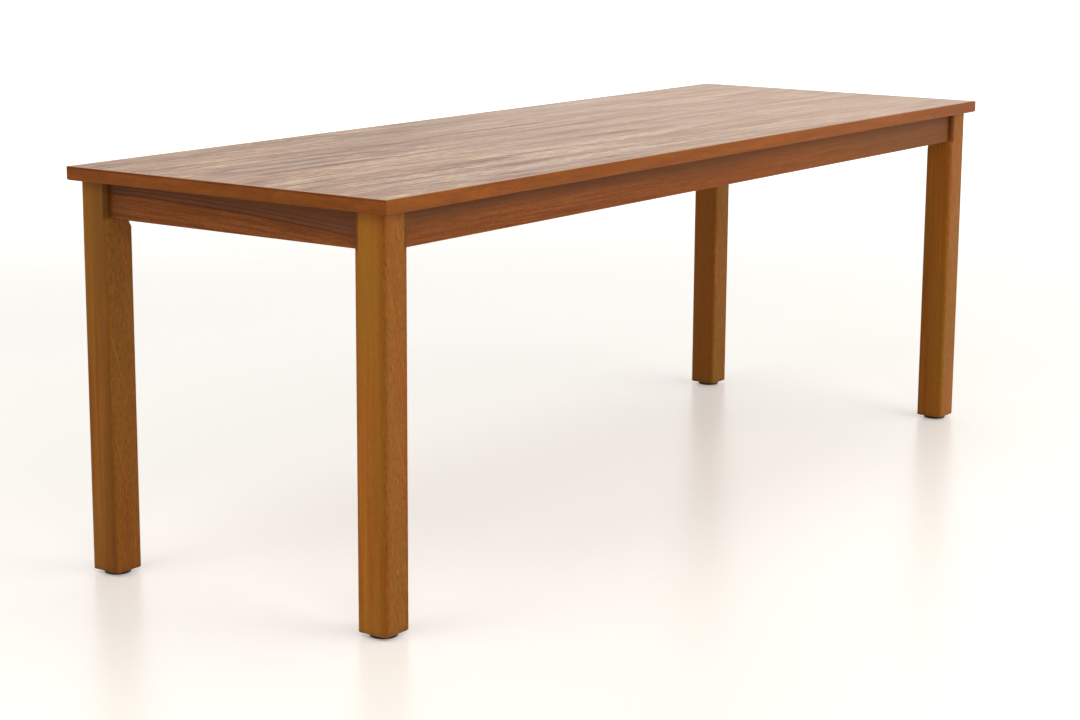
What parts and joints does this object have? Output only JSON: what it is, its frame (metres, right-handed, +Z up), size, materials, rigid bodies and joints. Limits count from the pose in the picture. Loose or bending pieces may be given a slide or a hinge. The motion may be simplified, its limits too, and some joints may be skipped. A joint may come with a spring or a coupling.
{
  "type": "wooden bench",
  "caption": "Long low wooden bench with a thin lipped and veneered top, aprons set back under it and straight square legs bolted on at the corners.",
  "frame": {"origin": "on the floor, under the middle of the top", "axes": "+X along the bench, +Y across it towards the back, +Z up"},
  "size_m": [1.24, 0.42, 0.43],
  "materials": {
    "top_veneer": "satin oiled teak veneer",
    "top_core": "raw chipboard",
    "backing_veneer": "matt plain veneer",
    "lipping": "satin oiled solid teak",
    "apron": "satin oiled teak",
    "leg": "satin stained beech",
    "batten": "raw sawn softwood",
    "bracket": "dull zinc plate",
    "fastener": "dull zinc plate",
    "glide": "worn matt black plastic"
  },
  "bodies": {
    "root": {"top_veneer": "top_veneer", "top_core": "top_core", "backing_veneer": "backing_veneer", "lipping_front": "lipping", "lipping_right": "lipping", "lipping_back": "lipping", "lipping_left": "lipping", "apron_front": "apron", "apron_right": "apron", "apron_back": "apron", "apron_left": "apron", "leg_front_left": "leg", "leg_front_right": "leg", "leg_back_right": "leg", "leg_back_left": "leg", "batten_front": "batten", "batten_right": "batten", "batten_back": "batten", "batten_left": "batten", "bracket_front_left": "bracket", "bracket_front_right": "bracket", "bracket_back_right": "bracket", "bracket_back_left": "bracket", "glide_front_left": "glide", "glide_front_right": "glide", "glide_back_right": "glide", "glide_back_left": "glide", "hanger_bolts": "fastener", "washers": "fastener", "nuts": "fastener", "bracket_screws": "fastener", "batten_screws": "fastener", "glide_screws": "fastener"}
  },
  "joints": []
}
